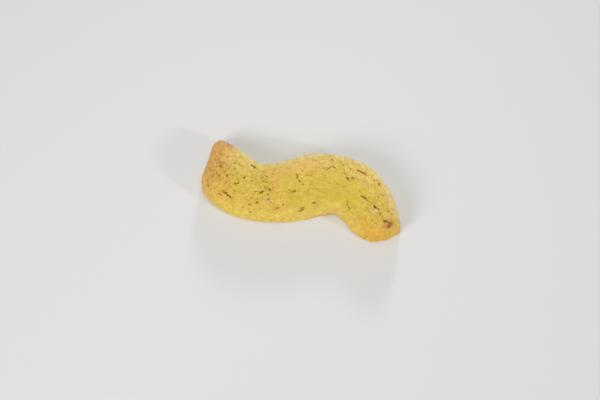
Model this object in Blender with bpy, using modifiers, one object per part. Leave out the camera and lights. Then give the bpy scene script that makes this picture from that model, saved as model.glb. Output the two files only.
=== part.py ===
"""A pistachio cookie: one hand-rolled rope of nut dough, laid in a lazy S and baked.

The rope runs from a pinched tip to a blunt end. It has a low domed section and a
flat underside, which rests on Z = 0. X is its long way, and Z is up.
"""
import math

import bmesh
import bpy
from mathutils import Vector, noise

MM = 0.001
NAME = "pistachio_cookie"

# The rope of dough, from tip to blunt end, in mm: a guide line's x and y, how far the
# rope reaches to the line's left and right, and the rope's height.
ROPE = [
    (-36.6, 14.3, 1.6, 2.8, 6.0),
    (-33.4, 9.5, 4.8, 6.4, 8.4),
    (-29.6, 5.1, 7.5, 14.3, 10.8),
    (-24.8, 1.3, 8.2, 15.6, 12.2),
    (-17.8, -1.1, 8.2, 14.3, 12.6),
    (-8.8, -0.3, 9.7, 14.3, 12.8),
    (1.2, 2.3, 12.0, 13.7, 12.8),
    (10.2, 3.9, 12.4, 12.5, 12.8),
    (18.2, 2.1, 12.3, 10.9, 12.6),
    (24.8, -2.9, 11.4, 10.4, 12.2),
    (29.8, -8.5, 9.2, 9.2, 11.4),
    (33.4, -15.1, 8.1, 5.9, 10.0),
]
TIP_ROUNDING = 2.0      # length over which the tip closes
END_ROUNDING = 3.4      # length over which the blunt end closes
BELLY = 1.3             # height at which the rope is widest
SUNK = 5.0              # how far the round form would go below the belly; the tray cuts it off
BLUNT = 0.82            # power that squares the section's shoulders: 1 is an ellipse

# The fold on the inner side of the second bend, where the dough is pinched to a crease.
FOLD_AT = (14.8, -7.0)
FOLD_DEPTH = 0.5
FOLD_REACH = 1.6

# Unevenness left by the hands.
LUMP_SIZE = 9.0
LUMP_HEIGHT = 0.5
LUMP_SEED = 8

# The block that cuts the underside flat, a little larger than the cookie's plan.
TRAY_LENGTH = 100.0
TRAY_WIDTH = 50.0
TRAY_DEPTH = 10.0

AROUND = 16             # cage points round the rope
ALONG = 40              # cage rings along the rope
SMOOTHING = 1           # subdivision steps
FINE_STEPS = 400        # samples for measuring along the rope

BAKED_DOUGH = (0.66, 0.47, 0.11, 1.0)
DRY = 0.85              # roughness of the baked surface


def blend(stations, t):
    """The rope's values at t, from 0 at the tip to 1 at the end, on a smooth line through the stations."""
    place = min(max(t, 0.0), 1.0) * (len(stations) - 1)
    first = min(int(place), len(stations) - 2)
    u = place - first
    before, start, end, after = (
        stations[min(max(first + step, 0), len(stations) - 1)] for step in (-1, 0, 1, 2)
    )
    return [
        0.5 * (2 * b + (c - a) * u + (2 * a - 5 * b + 4 * c - d) * u**2 + (3 * b - a - 3 * c + d) * u**3)
        for a, b, c, d in zip(before, start, end, after)
    ]


def even_steps(stations, count):
    """Values at count + 1 evenly spaced places along the rope, each with its distance from the tip."""
    fine = [blend(stations, i / FINE_STEPS) for i in range(FINE_STEPS + 1)]
    travelled = [0.0]
    for a, b in zip(fine, fine[1:]):
        travelled.append(travelled[-1] + math.hypot(b[0] - a[0], b[1] - a[1]))
    steps = []
    spot = 0
    for i in range(count + 1):
        goal = travelled[-1] * i / count
        while spot < FINE_STEPS - 1 and travelled[spot + 1] < goal:
            spot += 1
        share = (goal - travelled[spot]) / (travelled[spot + 1] - travelled[spot])
        values = [a + (b - a) * share for a, b in zip(fine[spot], fine[spot + 1])]
        steps.append((goal, values))
    return steps


def closing(distance, rounding):
    """How far the rope has opened at this distance from its end: 0 at the end, 1 past the rounding."""
    left = max(1.0 - distance / rounding, 0.0)
    return math.sqrt(1.0 - left * left)


def squared(value):
    """A sine or cosine pushed outwards, so that the section has fuller shoulders."""
    return math.copysign(abs(value) ** BLUNT, value)


def fold(x, y):
    """How far the dough is pinched in at this place by the fold."""
    away = math.hypot(x - FOLD_AT[0], y - FOLD_AT[1])
    return FOLD_DEPTH * math.exp(-away / FOLD_REACH)


def leftwards(steps, ring):
    """The level direction to the rope's left at a ring."""
    ahead = steps[min(ring + 1, len(steps) - 1)][1]
    behind = steps[max(ring - 1, 0)][1]
    return Vector((behind[1] - ahead[1], ahead[0] - behind[0])).normalized()


def rope_point(steps, ring, angle):
    """The place of one cage point: ring counts along the rope, angle goes round its section."""
    distance, (x, y, left_reach, right_reach, height) = steps[ring]
    length = steps[-1][0]
    opened = closing(distance, TIP_ROUNDING) * closing(length - distance, END_ROUNDING)
    middle = (left_reach - right_reach) / 2
    half = (left_reach + right_reach) / 2
    left = leftwards(steps, ring)
    spot = Vector((x, y)) + left * (middle + half * opened * squared(math.cos(angle)))
    if math.cos(angle) < 0:
        spot += left * fold(spot.x, spot.y)
    tall = height - BELLY if math.sin(angle) > 0 else SUNK
    return Vector((spot.x, spot.y, BELLY + tall * opened * squared(math.sin(angle))))


def lumps(point):
    """The point moved a little by the hands' unevenness."""
    return point + noise.noise_vector(point / LUMP_SIZE) * LUMP_HEIGHT


def rope_cage():
    """The rope as a closed cage: a sphere's rings are laid along the S, its poles at the two ends."""
    noise.seed_set(LUMP_SEED)
    steps = even_steps(ROPE, ALONG)
    cage = bmesh.new()
    bmesh.ops.create_uvsphere(cage, u_segments=AROUND, v_segments=ALONG, radius=1.0)
    for vert in cage.verts:
        ring = round(math.acos(max(-1.0, min(1.0, vert.co.z))) / math.pi * ALONG)
        angle = math.atan2(vert.co.x, vert.co.y)
        vert.co = lumps(rope_point(steps, ring, angle)) * MM
    bmesh.ops.recalc_face_normals(cage, faces=cage.faces)
    mesh = bpy.data.meshes.new(NAME)
    cage.to_mesh(mesh)
    cage.free()
    return mesh


def tray():
    """A block whose top is the flat tray that the dough rests on."""
    block = bmesh.new()
    bmesh.ops.create_cube(block, size=1.0)
    bmesh.ops.scale(block, vec=Vector((TRAY_LENGTH, TRAY_WIDTH, TRAY_DEPTH)) * MM, verts=block.verts)
    bmesh.ops.translate(block, vec=Vector((0, 0, -TRAY_DEPTH / 2)) * MM, verts=block.verts)
    mesh = bpy.data.meshes.new("tray")
    block.to_mesh(mesh)
    block.free()
    cutter = bpy.data.objects.new("tray", mesh)
    cutter.hide_render = True
    cutter.display_type = "WIRE"
    return cutter


def dough_material():
    """Dry baked dough."""
    material = bpy.data.materials.new("baked_dough")
    material.use_nodes = True
    surface = material.node_tree.nodes["Principled BSDF"]
    surface.inputs["Base Color"].default_value = BAKED_DOUGH
    surface.inputs["Roughness"].default_value = DRY
    surface.inputs["Metallic"].default_value = 0.0
    return material


def collection(name):
    """A new collection in the scene."""
    made = bpy.data.collections.new(name)
    bpy.context.scene.collection.children.link(made)
    return made


def build():
    """The cookie, with the block that cuts it flat."""
    for leftover in list(bpy.data.objects):
        bpy.data.objects.remove(leftover)
    mesh = rope_cage()
    mesh.materials.append(dough_material())
    cookie = bpy.data.objects.new("cookie", mesh)
    collection(NAME).objects.link(cookie)

    cutter = tray()
    collection("cutters").objects.link(cutter)

    smooth = cookie.modifiers.new("soft_dough", "SUBSURF")
    smooth.levels = SMOOTHING
    smooth.render_levels = SMOOTHING
    flat = cookie.modifiers.new("flat_underside", "BOOLEAN")
    flat.operation = "DIFFERENCE"
    flat.solver = "EXACT"
    flat.object = cutter
    mesh.shade_smooth()


build()
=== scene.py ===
"""The look of a pistachio cookie: pale nut dough baked dry, with its crumb, cracks, pits and chopped nuts.

Sizes and places are in millimetres, and meshes are filled in metres. X is the cookie's long way, Z is up,
and the tray it was baked on is Z = 0.
"""
import math
import random

import bmesh
import bpy
import numpy as np
from mathutils import Matrix, Vector, noise
from mathutils.bvhtree import BVHTree
from mathutils.kdtree import KDTree


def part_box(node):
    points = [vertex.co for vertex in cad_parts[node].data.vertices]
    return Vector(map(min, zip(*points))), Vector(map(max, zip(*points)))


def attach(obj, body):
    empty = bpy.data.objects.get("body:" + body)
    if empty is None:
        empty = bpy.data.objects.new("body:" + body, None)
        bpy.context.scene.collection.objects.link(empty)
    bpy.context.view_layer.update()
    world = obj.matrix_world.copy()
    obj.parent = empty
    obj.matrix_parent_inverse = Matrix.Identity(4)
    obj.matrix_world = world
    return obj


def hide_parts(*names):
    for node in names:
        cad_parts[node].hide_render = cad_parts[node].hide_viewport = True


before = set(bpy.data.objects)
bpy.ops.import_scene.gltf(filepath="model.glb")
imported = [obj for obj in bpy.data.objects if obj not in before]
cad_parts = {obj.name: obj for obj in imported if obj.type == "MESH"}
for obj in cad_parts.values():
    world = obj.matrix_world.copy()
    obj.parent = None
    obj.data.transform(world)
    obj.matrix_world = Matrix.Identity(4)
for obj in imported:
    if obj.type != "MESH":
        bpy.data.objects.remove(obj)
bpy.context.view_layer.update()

MM = 0.001              # a millimetre in metres
SEED = 31               # where every random draw starts
NOISE_GAIN = 2.2        # stretches the noise, which seldom passes 0.45, to about -1 to 1
ABOVE = 40.0            # a height above the whole cookie

# ---------------------------------------- the dough's surface

VOXEL = 0.48            # spacing of the even mesh before its top is made finer
UNDERSIDE_TILT = -0.35  # faces whose normal points further down than this stay coarse
FINE_REACH = 0.40       # the mesh is finest this close to a crack, a large pit or a nut bit's edge
RIM_MARKS = 12          # places round a nut bit's edge where the mesh is made finest
WELD = 0.01             # corners of the CAD mesh this close together are joined
SETTLE_PASSES = 3       # smoothing passes over the fine mesh
SEAT = 0.35             # how far the dough's foot has sagged on to the tray
SEAT_REACH = 2.0        # height up to which it has sagged
FOOT_SPREAD = 0.45      # how far the foot has spread on the tray, so that no gap shows under the belly
FOOT_REACH = 1.6        # height up to which it has spread
FOOT_PALENESS_AND_LIGHT = (0.8, 3.6)  # heights between which the foot's paleness fades out: partly drier dough, partly painted light over the shade at the tray
FLAT_SLOPES = (-0.9, -0.6)      # slopes between which the flat underside gives way to the relief
UNDERSIDE_RIPPLE = (1.1, 0.1)   # size and height of the underside's own faint ripple
UNDERSIDE_SLOPES = (-0.75, -0.25)   # slopes between which its browner tint gives way to the sides

# How the rope lies in plan, from the pinched tip to the blunt end. Small cracks follow it.
ROPE_LINE = [(-36, 13), (-31, 3), (-24, -4), (-12, -3), (0, 1), (12, 3), (22, -1), (29, -8), (34, -15)]

# Broad unevenness: size of one swell and how high it stands.
SWELLS = [(6.5, 0.12), (2.6, 0.08)]

# Crumb: size and height of soft lumps, then of single grains, which stand unevenly high.
CRUMB_LUMPS = [(1.7, 0.10), (0.75, 0.07)]
GRAINS = [(1.15, 0.17), (0.60, 0.09)]
GRAIN_UNEVENNESS = 0.7
GRAIN_DOME = 1.8        # how steeply a grain rises from its seams
GRAIN_DRAW = 97.0       # sends each grain's middle to another cell of the noise, which gives its height
CRUMB_ON_SIDES = 0.45   # how much of the crumb the smoother sides keep
TOP_SLOPES = (0.45, 0.85)   # upward slopes between which the sides give way to the top
ROUGH_PATCH = 3.2       # size of the rougher and smoother patches
ROUGHNESS = (0.85, 0.35)    # how rough the crumb is, and how much that changes from patch to patch
CREASE_SHADE_REACH = 1.1      # painted shade in the creases ends this far up the crumb, a middling grain being 1 high

# Cracks in the top: the places they pass, their width and their depth. The places were worked out on
# the finished solid with a separate tool, and some were then moved by hand.
CRACKS = [
    ([(-31.2, -9.6), (-30.3, -10.2), (-29.4, -10.4)], 0.50, 0.45),
    ([(-29.5, -8.6), (-28.8, -9.4), (-27.3, -10.2), (-25.3, -11.2)], 0.85, 0.70),
    ([(-21.2, 3.3), (-20.0, 3.0), (-18.8, 2.5)], 1.00, 0.85),
    ([(-18.8, 1.3), (-17.2, 1.4), (-16.2, 1.2)], 0.30, 0.20),
    ([(-17.6, -7.6), (-15.9, -7.5)], 0.46, 0.42),
    ([(-15.6, -7.9), (-14.7, -7.6), (-13.6, -7.0)], 0.80, 0.65),
    ([(-12.5, -5.7), (-11.4, -6.3)], 0.60, 0.55),
    ([(-9.0, -12.5), (-7.9, -11.8), (-6.9, -11.5)], 0.70, 0.50),
    ([(0.2, 2.0), (1.3, 2.0), (2.3, 2.1)], 0.50, 0.45),
    ([(7.4, 5.2), (8.3, 5.8), (9.0, 6.9), (10.2, 7.3), (11.3, 6.4)], 0.62, 0.50),
    ([(-2.9, 1.8), (-2.5, 0.7), (-2.4, -0.2)], 0.90, 0.55),
    ([(-1.9, -0.5), (-0.8, -1.1)], 0.70, 0.50),
    ([(15.3, 4.0), (16.2, 3.6), (16.9, 2.6)], 0.78, 0.62),
    ([(17.2, 3.6), (17.9, 4.3), (18.8, 4.2)], 0.62, 0.58),
    ([(16.0, 8.3), (17.1, 7.7)], 0.55, 0.45),
    ([(14.2, 5.4), (15.7, 5.0)], 0.42, 0.36),
    ([(19.2, 4.1), (21.0, 3.9), (22.8, 3.5)], 0.32, 0.26),
    ([(22.1, -2.2), (23.2, -2.6), (24.6, -3.1)], 0.78, 0.68),
    ([(25.3, -3.8), (26.3, -4.4), (27.3, -3.9)], 0.40, 0.36),
    ([(27.4, -5.0), (28.5, -5.8), (30.0, -6.3)], 0.75, 0.55),
    ([(17.5, -5.2), (17.8, -6.4)], 0.50, 0.42),
    ([(18.4, -6.4), (18.9, -7.7)], 0.50, 0.44),
    ([(-27.6, -6.1), (-26.2, -5.8)], 0.36, 0.30),
    ([(-25.7, -5.8), (-24.6, -5.8), (-23.6, -5.4)], 0.65, 0.55),
    ([(-29.3, -3.1), (-28.1, -2.8)], 0.40, 0.34),
    ([(-27.0, -2.6), (-25.5, -2.3)], 0.42, 0.38),
    ([(15.6, 8.4), (16.6, 8.1), (17.5, 7.4)], 0.35, 0.26),
    ([(-24.3, -2.6), (-23.4, -2.2), (-22.6, -2.0)], 0.36, 0.32),
    ([(31.9, -10.1), (33.0, -10.0), (34.3, -10.2)], 1.15, 0.80),
    ([(19.1, 8.0), (20.1, 7.8), (21.0, 7.4)], 0.95, 0.75),
    ([(34.7, -9.9), (35.6, -10.7), (35.9, -11.7)], 0.45, 0.32),
    ([(31.2, -8.0), (31.4, -8.9)], 0.40, 0.30),
    ([(24.9, -14.9), (26.2, -15.3), (27.7, -15.3)], 0.34, 0.22),
    ([(23.4, -10.6), (24.6, -10.3), (25.9, -10.4)], 0.40, 0.26),
]

CRACK_STEP = 0.14       # length of one step along a crack
CRACK_SWAY = 0.11       # how far a crack wavers to either side
SWAY_SIZE = 0.6         # length of one sway
CRACK_TAPER = (5.0, 0.2)    # how fast a crack opens from its ends, and how open it is at them
CRACK_OPENNESS = (0.8, 0.3) # how open it is on the whole, and how much that changes along it
OPENNESS_SIZE = 0.5     # length of one such change
CRACK_ENDS = 0.45       # how much of its width a crack keeps where it closes
CRACK_SQUARENESS = 2.5  # power that gives a crack steep walls and a flat floor
LIP = 0.12              # how far a crack's lips lift, as a share of its depth
LIP_REACH = 2.4         # how far the lips reach from the crack's middle, in half widths
DARKEST_SHADE_DEPTH = 0.46       # a hollow this deep gets the darkest painted shade
RAGGED_SIZE = 0.34      # size of the notches in a crack's and a pit's edge
CRACK_NOTCH = 0.06      # how far the notches bite into a crack's edge
PIT_NOTCH = 0.10        # how far they bite into a pit's or a crumb's edge
PIT_ROOM = 1.4          # a pit's notched edge lies within this many radii
CRUMB_ROOM = 1.3        # the same for a crumb
PIT_STRETCH = 1.3       # how much longer a large pit is along the rope than across it

# Pits in the top: their place, radius and depth. Their places were found as the cracks' were.
PITS = [
    (-32.3, 0.9, 0.50, 0.48), (-31.7, -0.1, 0.34, 0.34), (-27.2, 2.8, 0.46, 0.42),
    (-34.7, -3.7, 0.46, 0.42), (-35.7, -7.1, 0.46, 0.40), (-27.7, -2.3, 0.34, 0.30),
    (-28.9, -3.2, 0.34, 0.30), (-26.4, -3.0, 0.34, 0.28), (-25.4, -1.9, 0.30, 0.28),
    (-15.7, -11.3, 0.58, 0.60), (-18.4, -12.3, 0.46, 0.44), (-17.9, -14.3, 0.50, 0.55),
    (-5.9, -10.3, 0.44, 0.38), (-2.4, -4.9, 0.50, 0.50), (-4.5, -5.0, 0.36, 0.30), (-1.1, -4.1, 0.32, 0.26),
    (-1.1, 3.6, 0.36, 0.30), (-0.1, -2.0, 0.34, 0.30), (5.3, -7.3, 0.68, 0.50), (12.6, 0.7, 0.36, 0.30),
    (26.2, 5.1, 0.42, 0.30), (28.3, 4.2, 0.62, 0.55), (22.4, 6.7, 0.34, 0.24), (30.3, -7.9, 0.42, 0.38),
    (28.0, -5.6, 0.55, 0.52), (-19.2, -3.8, 0.40, 0.26), (-20.9, -13.4, 0.44, 0.30),
    (-31.2, 2.5, 0.36, 0.26), (-10.7, -5.0, 0.32, 0.28), (-32.9, -8.0, 0.40, 0.30),
    (-9.6, -6.8, 0.32, 0.28), (-3.4, -7.7, 0.34, 0.24), (2.2, -3.7, 0.32, 0.24), (7.8, 2.9, 0.32, 0.24),
    (15.8, 0.3, 0.36, 0.28), (18.8, -1.1, 0.30, 0.22), (26.5, -7.6, 0.32, 0.26), (27.8, -13.2, 0.36, 0.26),
    (33.0, -5.2, 0.32, 0.26), (-12.4, -7.8, 0.30, 0.28), (-37.2, -1.8, 0.32, 0.26),
    (20.5, -8.7, 0.30, 0.22),
]

# Knobs, soft bulges and dents (below 0) that the fingers left: place, radius and height.
KNOBS = [
    (-35.0, 12.2, 2.2, 0.40), (-32.1, 11.6, 1.9, -0.50), (-37.0, 9.0, 1.1, 0.30), (38.2, -10.2, 2.0, 0.55),
    (-38.4, -3.0, 2.6, 0.30), (7.2, -9.7, 3.2, -0.85), (26.2, -15.6, 3.2, -0.75), (17.6, -9.8, 2.6, -0.60),
    (32.4, 2.8, 4.6, 0.36),
]

# Where the surface is rougher (above 0) or calmer (below 0) than elsewhere: place, radius and how much.
LIVELY = [
    (-34.0, 0.0, 7.0, 0.38), (-32.0, 8.5, 4.0, -0.25), (20.0, 5.5, 4.0, -0.15), (13.0, -3.5, 8.0, -0.65),
    (-5.0, 2.5, 8.0, -0.45), (-3.0, -7.5, 7.0, -0.40), (22.0, -6.5, 5.0, -0.25), (-14.0, -6.0, 6.0, 0.15),
    (-12.0, -0.5, 4.0, 0.25),
]
LIVELIEST = 1.7         # the surface is nowhere rougher than this

# Nests of hairline cracks, where the rolled skin has torn in scales: place, reach and how many.
NESTS = [(-27.0, 0.0, 3.2, 26), (-13.5, -5.0, 2.2, 12), (18.5, 4.0, 2.6, 16), (26.0, -4.5, 2.0, 8)]

# Small pits, hairline cracks and stuck crumbs strewn over the top and, fewer, over the sides.
SMALL_PITS = 330
SIDE_PITS = 90
SMALL_PIT_RADIUS = (0.16, 0.42)
SMALL_PIT_DEPTH = (0.08, 0.30)
SMALL_PIT_STRETCH = (1.0, 2.4)  # how much longer than wide they are
HAIRLINES = 190
HAIRLINE_LENGTH = (0.7, 2.4)
HAIRLINE_WIDTH = (0.22, 0.40)
HAIRLINE_DEPTH = (0.08, 0.28)
HAIRLINE_LEVEL = 11.0   # about how high the surface is that they lie in
STUCK_CRUMBS = 260
STUCK_CRUMB_RADIUS = (0.25, 0.60)
STUCK_CRUMB_HEIGHT = (0.08, 0.26)
CRUMB_PALENESS = 0.7    # how pale a stuck crumb is
TOP_TILT = 0.72         # least upward slope of a surface that counts as the top
SIDE_TILT = 0.1         # least upward slope of a surface that side pits lie in
SPREAD = 0.5            # how far a hairline or pit may turn from the rope's direction, in radians

# ---------------------------------------- bake and tint, as soft patches in plan

PATCH_WARP = 4.0        # size of the unevenness in the patches' edges

# Place, radius and strength of each patch.
TOASTED = [
    (-39.5, 1.9, 3.6, 0.85), (-38.0, 6.4, 3.0, 0.60), (-35.4, 11.8, 2.8, 1.10), (-33.6, 10.4, 1.8, 0.95),
    (-39.5, -4.1, 3.4, 0.62), (-37.0, -9.1, 3.0, 0.30), (-33.0, 5.0, 7.0, 0.34), (-33.0, -2.6, 7.0, 0.34),
    (-34.6, 9.6, 3.2, 0.75), (-37.0, 14.4, 3.2, 0.60), (38.5, -10.6, 3.6, 0.40), (36.0, -16.1, 4.0, 0.20),
    (29.0, -19.1, 4.0, 0.20), (-36.2, 1.0, 2.0, 0.40), (33.0, -13.6, 5.0, 0.18), (35.0, -6.6, 4.0, 0.05),
    (-18.0, -5.6, 7.0, 0.08), (-32.0, 9.6, 3.0, 0.25), (-12.0, -1.5, 3.8, 0.14), (-12.5, 4.5, 3.0, 0.18),
    (-7.5, 2.5, 3.0, 0.14), (21.0, -12.5, 3.0, 0.14),
]
# Where the tip is baked darkest: stored in the same layer as the painted shade of the hollows
SCORCHED = [(-35.8, 13.0, 2.4, 0.24), (-33.9, 8.9, 1.8, 0.15)]
PEACH = [
    (-8.0, 5.4, 5.0, 0.35), (0.0, 9.4, 6.0, 0.65), (8.0, 10.9, 5.0, 0.75), (-12.0, 1.4, 3.5, 0.15),
    (-33.6, 6.4, 1.8, 0.85), (37.2, -10.4, 2.2, 0.85), (9.0, 10.4, 2.0, 0.50), (-11.5, -1.1, 2.0, 0.20),
    (37.0, -3.6, 4.0, 0.45), (-25.0, 6.0, 4.0, 0.60), (28.3, -6.9, 1.2, 0.90), (17.8, -8.4, 1.2, 0.40),
    (-11.3, -9.4, 1.5, 0.95), (-2.0, 4.4, 4.0, 0.30), (35.5, -13.1, 2.2, 0.50), (-18.5, 5.0, 3.5, 0.40),
    (-33.5, 8.5, 3.5, 0.60), (-30.0, 7.0, 3.0, 0.40), (21.2, 8.9, 1.3, 0.80), (-20.0, 1.5, 3.5, 0.45),
    (35.5, -8.7, 2.5, 0.40),
]
AMBER = [
    (25.0, -11.6, 2.2, 0.60), (25.5, -14.1, 0.4, 0.80), (26.4, -14.3, 0.4, 0.85), (27.2, -14.4, 0.4, 0.85),
    (29.0, -19.0, 4.2, 1.00), (36.0, -16.0, 3.5, 0.90), (19.0, 9.8, 1.3, 0.60), (27.8, 4.8, 1.4, 0.50),
    (-33.2, -8.6, 1.6, 0.50), (31.5, -15.5, 4.5, 0.50), (34.0, 1.5, 2.5, 0.36), (37.0, -3.5, 3.0, 0.22),
    (30.5, 4.0, 3.0, 0.15), (-24.0, -11.5, 3.0, 0.15),
]
PALER = [
    (22.5, 8.5, 5.0, 1.20), (28.5, 4.0, 4.0, 0.35), (-28.5, 6.5, 3.5, 0.50), (-26.0, 3.5, 4.5, 1.00),
    (-20.0, 3.8, 3.5, 1.00), (-14.0, 4.5, 3.5, 0.60), (17.0, 9.5, 4.0, 0.50), (-33.7, -6.9, 0.6, 1.00),
    (-33.6, 4.4, 2.6, 0.65), (38.5, -6.0, 3.0, 0.15), (38.0, -12.5, 2.4, 0.50), (3.0, 12.8, 4.0, 0.35),
    (10.0, 13.3, 4.5, 0.40), (8.6, -10.0, 1.8, 0.80), (12.8, -8.6, 1.8, 0.90), (3.0, -10.8, 2.5, 0.30),
    (15.6, -8.8, 1.8, 0.50),
]
FRESH = [
    (5.0, -4.6, 7.0, 0.80), (12.0, -2.6, 6.0, 0.75), (-4.0, -4.6, 6.0, 0.60), (20.0, -3.6, 5.0, 0.60),
    (-16.0, -2.6, 6.0, 0.50), (25.0, -8.6, 5.0, 0.60), (17.0, 4.4, 5.0, 0.35), (-20.0, 3.4, 4.0, 0.45),
    (-26.0, 0.4, 6.0, 0.60), (-26.0, -7.6, 5.0, 0.50), (-31.0, 0.4, 4.0, 0.35), (28.0, -2.6, 5.0, 0.45),
    (-15.0, -9.6, 5.0, 0.35), (-12.0, 0.0, 3.0, 0.15),
]

# The layers of patches that the material reads by name, and how far their edges stray.
LAYERS = [("toasted", TOASTED, 2.0), ("peach", PEACH, 1.6), ("amber", AMBER, 0.8), ("fresh", FRESH, 2.0)]
SCORCHED_STRAY = 1.0
PALER_STRAY = 2.0
LIVELY_STRAY = 2.0

# The sides are paler than the top, and those that face away from the front are less yellow: painted light
# that lifts the shade on the sides, warmer where they face the front and cooler where they face away, and
# partly the paler dough of sides that baked less.
FAR_SIDE = (0.35, 0.94, 0.0)    # the way that the sides with the less yellow painted light face
FAR_FACING = (-0.1, 0.66)       # how squarely a surface faces that way where they begin and are full
FAR_FOOT = (-0.4, 0.6)          # slopes between which their yellow foot gives way to them
NEAR_SLOPES = (0.20, 0.72)      # upward slopes between which the near sides give way to the top
FAR_SLOPES = (0.60, 1.02)       # the same for the far sides

# ---------------------------------------- chopped nuts

# Place, turn in degrees, half length, half width, half thickness, how far the bit stands proud, and the
# way that its skin faces in plan, in degrees. The side away from its skin is cut flesh.
SKIN_BITS = [
    (34.0, -11.1, 8, 2.50, 1.35, 1.4, 0.95, -10),
    (22.0, 7.2, -14, 1.75, 0.60, 0.8, 0.22, 200),
]
PALE_BITS = [
    (1.0, -10.2, 42, 1.90, 1.10, 0.8, 0.32, -30),
    (-11.6, -9.3, -40, 1.80, 0.95, 0.8, -0.08, -120),
    (17.2, -5.8, 75, 1.40, 0.95, 0.8, 0.06, 0),
    (9.2, 10.4, 10, 1.10, 0.60, 0.6, 0.05, 90),
    (-33.5, 6.2, 70, 1.30, 0.90, 0.7, 0.04, 180),
]
GREEN_BITS = [
    (-3.4, -5.6, 20, 0.80, 0.50, 0.6, 0.10, 0),
    (12.4, -1.4, 70, 0.75, 0.45, 0.6, 0.10, 90),
    (-22.4, -2.6, -20, 0.80, 0.45, 0.6, 0.08, 0),
]
CUTS = 11               # flat faces that the knife leaves on one bit
CUT_DEPTH = (0.45, 0.9) # how far they lie from the bit's middle, as a share of its radius
CUT_FACING = 0.05       # a cut is felt where the bit's side faces it at least this squarely
BIT_RIPPLES = (2.5, 0.06)   # how many ripples there are to a bit's radius, and how high they are
BIT_TOP = 0.8           # height of its top above its middle, as a share of half its thickness
SKIN_MIDDLE = 0.6       # how much skin shows at a bit's middle
SKIN_EDGE = 1.6         # how sharply a bit's skin gives way to flesh
SOCKET_DEPTH = 0.22     # how far the dough is drawn back round a bit
SOCKET_WIDTH = 0.30     # how wide the groove is that this leaves
SOCKET_GAPS = 1.3       # size of the stretches where the dough does or doesn't reach the bit
SOCKET_DRAWN = (0.5, 0.9)   # how far it is drawn back on the whole, and how much that changes

# Finer chopped bits, strewn through the top: how many, smallest and largest half length.
FINE_SKIN = (26, 0.18, 0.42)
FINE_GREEN = (46, 0.22, 0.50)
FINE_PALE = (60, 0.25, 0.60)
FINE_WIDTH = (0.5, 0.8)     # their width, as a share of their length
FINE_THICKNESS = 0.7        # their thickness, as a share of their length
FINE_PROUD = (-0.02, 0.10)  # how far they stand proud
LARGE_DETAIL = 4            # how often the faces of a large bit's ball are divided before it is cut
FINE_DETAIL = 2             # the same for a fine bit

# Each kind: its piece, its large and fine bits, how dark the painted shade in the dough round the large
# ones is, and the colours of its skin and flesh, as display values out of 255.
NUT_KINDS = [
    ("nut_skin_bits", SKIN_BITS, FINE_SKIN, 0.5, (142, 84, 34), (226, 148, 84)),
    ("nut_pale_bits", PALE_BITS, FINE_PALE, 0.12, (162, 124, 52), (228, 188, 126)),
    ("nut_green_bits", GREEN_BITS, FINE_GREEN, 0.25, (164, 138, 36), (204, 180, 74)),
]

# ---------------------------------------- colours, as display values out of 255

GOLDEN = (228, 191, 91)
GREENISH = (212, 193, 66)
PEACH_TONE = (238, 198, 134)
TOAST_TONE = (216, 143, 96)
WARM_TONE = (224, 168, 88)
# Painted light on the sides: yellow where they face the front, paler and less yellow where they face away
NEAR_SIDE_LIGHT_TONE = (255, 230, 106)
FAR_SIDE_LIGHT_TONE = (255, 241, 180)
# painted shade in seams between grains and in creases, and also the colour of darker grains and calm dough
SHADE_AND_DARK_CRUMB_TONE = (181, 146, 42)
AMBER_TONE = (246, 178, 64)
PALE_CRUMB_TONE = (252, 227, 136)
BROWN_SPECK_TONE = (150, 96, 44)
GREEN_SPECK_TONE = (172, 150, 54)
# painted shade in cracks, pits, sockets and between a nut's grains, and the colour of the scorched tip
HOLLOW_SHADE_AND_SCORCH_TONE = (140, 103, 10)
UNDERSIDE_TONE = (206, 158, 84)

# ---------------------------------------- the finish

# Uneven patches in the colour: their size and detail, and the noise values between which they fade in.
PATCHY = {"Size": 3.6, "Detail": 3.0, "Low": 0.38, "High": 0.62}    # greener stretches of dough
CRUMBLY = {"Size": 1.1, "Detail": 4.0, "Low": 0.36, "High": 0.66}   # coarse crumb
WARMER = {"Size": 1.9, "Detail": 3.0, "Low": 0.46, "High": 0.62}    # warmer crumb
NUT_PATCHY = {"Size": 0.8, "Detail": 3.0, "Low": 0.3, "High": 0.7}  # the edge of a nut's skin
NUT_DUSTY = {"Size": 0.5, "Detail": 2.0, "Low": 0.5, "High": 0.7}   # dough left on a nut

# Specks: the size of the cells they lie in, their radius in cells, and the share of cells that have one.
BROWN_SPECKS = {"Spacing": 1.5, "Radius": 0.22, "Kept": 0.4}
GREEN_SPECKS = {"Spacing": 1.15, "Radius": 0.30, "Kept": 0.35}

# Dry grains: their size and depth.
FINE_GRAIN = (0.52, 0.10)
FINEST_GRAIN = (0.22, 0.05)
NUT_GRAIN = (0.4, 0.06)
GRAIN_EDGES = (0.78, 0.22)  # how far from a grain's middle its slope ends, and where its top ends
GRAIN_HEIGHTS = (0.5, 1.0)  # the lowest and the highest grain
GRAIN_WARP = 0.9        # how far the grains are pulled out of round
SAND = {"Scale": 1.3, "Detail": 4.0, "Roughness": 0.65}     # sand finer than the grains
SAND_ON_GRAINS = 0.8    # how high it stands on them

# Each grain has a random number from 0 to 1. It is pale, or else tinted, in these ranges.
PALE_PICK = (0.6, 1.0)
TINTED_PICK = (0.33, 0.0)
CALM = (1.0, 0.3)       # roughness between which the dough counts as calm

# How strongly the patches show in the seams of the coarse crumb, and on top of it.
PEACH_SHOWS = (0.5, 1.0)
TOAST_SHOWS = (1.2, 0.8)
AMBER_SHOWS = (1.0, 0.6)

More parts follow.
